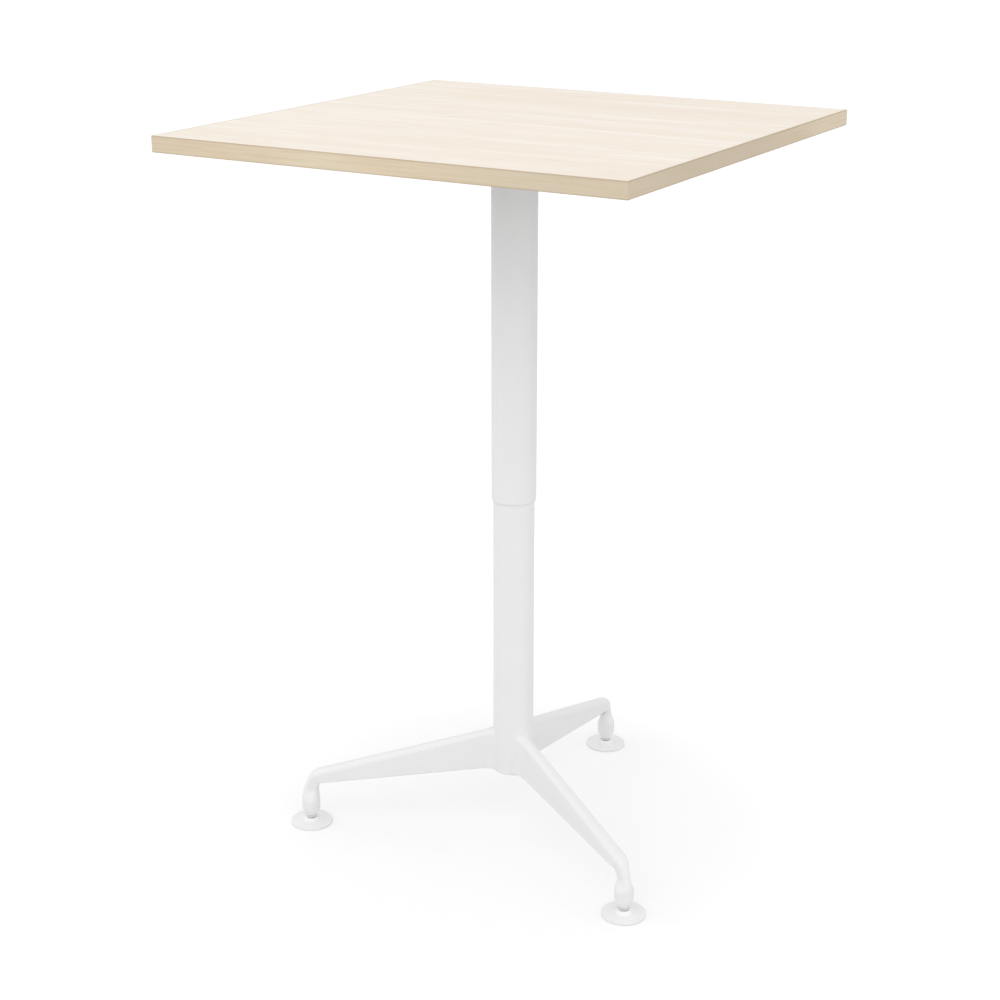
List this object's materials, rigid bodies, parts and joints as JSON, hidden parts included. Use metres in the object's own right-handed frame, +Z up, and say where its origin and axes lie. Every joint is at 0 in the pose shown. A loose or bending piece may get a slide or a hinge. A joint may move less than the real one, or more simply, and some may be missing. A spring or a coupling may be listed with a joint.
{
  "type": "height-adjustable table",
  "caption": "Square pedestal table whose telescoping round column, on splayed cast legs, slides between sitting and standing height and is released by a lever under the top.",
  "frame": {"origin": "on the floor, on the column's axis, under the middle of the square top", "axes": "+Z up along the column; +X and +Y along the sides of the top, with the rear leg towards +Y and the release lever towards -X"},
  "size_m": [0.7, 0.7, 1.08],
  "materials": {
    "maple_laminate": "satin maple decor laminate",
    "edge_banding": "satin maple decor edge band",
    "particle_board": "raw board",
    "backing_sheet": "matt backing laminate",
    "white_powder_coat": "satin white powder coat",
    "zinc_steel": "bright zinc plate",
    "chrome_rod": "hard chrome",
    "black_enamel": "black enamel",
    "cast_aluminium": "as cast and turned",
    "brass_insert": "turned",
    "white_plastic": "moulded white plastic",
    "black_plastic": "moulded black plastic",
    "black_rubber": "moulded rubber",
    "felt": "pressed felt"
  },
  "bodies": {
    "base": {"lower_tube": "white_powder_coat", "hub_insert": "cast_aluminium", "bottom_cap": "white_plastic", "leg_front": "white_powder_coat", "leg_rear": "white_powder_coat", "leg_left": "white_powder_coat", "leg_screws": "zinc_steel", "thread_inserts": "brass_insert", "guide_bush": "black_plastic", "bump_stop": "black_rubber", "gas_cylinder": "black_enamel", "gas_gland": "black_enamel", "cylinder_end": "zinc_steel", "stud_washer": "zinc_steel", "stud_nut": "zinc_steel"},
    "carriage": {"top_laminate": "maple_laminate", "top_core": "particle_board", "backing_laminate": "backing_sheet", "edge_band_front": "edge_banding", "edge_band_back": "edge_banding", "edge_band_left": "edge_banding", "edge_band_right": "edge_banding", "spider": "white_powder_coat", "spider_screws": "zinc_steel", "sleeve_set_screws": "zinc_steel", "upper_sleeve": "white_powder_coat", "sleeve_liner": "white_plastic", "guide_tube": "zinc_steel", "piston": "zinc_steel", "piston_rod": "chrome_rod", "rod_nut": "zinc_steel", "lever_pivot": "zinc_steel"},
    "release_lever": {"lever_arm": "zinc_steel", "lever_grip": "black_plastic"},
    "valve_pin": {"release_pin": "zinc_steel"},
    "stem_front": {"glide_stem_front": "zinc_steel"},
    "foot_front": {"glide_pad_front": "white_plastic", "glide_sole_front": "felt"},
    "stem_rear": {"glide_stem_rear": "zinc_steel"},
    "foot_rear": {"glide_pad_rear": "white_plastic", "glide_sole_rear": "felt"},
    "stem_left": {"glide_stem_left": "zinc_steel"},
    "foot_left": {"glide_pad_left": "white_plastic", "glide_sole_left": "felt"}
  },
  "joints": [
    {"name": "height_slide", "type": "slide", "parent": "base", "child": "carriage", "axis": [0, 0, 1], "range_m": [-0.35, 0]},
    {"name": "lever_hinge", "type": "hinge", "parent": "carriage", "child": "release_lever", "pos_m": [-0.03, 0, 1.0517], "axis": [0, 1, 0], "range_deg": [0, 4.5], "stiffness_Nm_per_rad": 1.5, "springref_deg": -11.46},
    {"name": "pin_slide", "type": "slide", "parent": "carriage", "child": "valve_pin", "axis": [0, 0, -1], "range_m": [0, 0.0024]},
    {"name": "stem_turn_front", "type": "hinge", "parent": "base", "child": "stem_front", "pos_m": [0.2715, -0.15675, 0.0129], "axis": [0, 0, -1], "range_deg": [0, 2160]},
    {"name": "foot_tilt_front", "type": "hinge", "parent": "stem_front", "child": "foot_front", "pos_m": [0.2715, -0.15675, 0.0056], "axis": [0.5, 0.866, 0], "range_deg": [-6, 6]},
    {"name": "stem_turn_rear", "type": "hinge", "parent": "base", "child": "stem_rear", "pos_m": [0, 0.3135, 0.0129], "axis": [0, 0, -1], "range_deg": [0, 2160]},
    {"name": "foot_tilt_rear", "type": "hinge", "parent": "stem_rear", "child": "foot_rear", "pos_m": [0, 0.3135, 0.0056], "axis": [-1, 0, 0], "range_deg": [-6, 6]},
    {"name": "stem_turn_left", "type": "hinge", "parent": "base", "child": "stem_left", "pos_m": [-0.2715, -0.15675, 0.0129], "axis": [0, 0, -1], "range_deg": [0, 2160]},
    {"name": "foot_tilt_left", "type": "hinge", "parent": "stem_left", "child": "foot_left", "pos_m": [-0.2715, -0.15675, 0.0056], "axis": [0.5, -0.866, 0], "range_deg": [-6, 6]}
  ],
  "couplings": [
    {"joint": "pin_slide", "follows": "lever_hinge", "m_per_rad": 0.03}
  ]
}
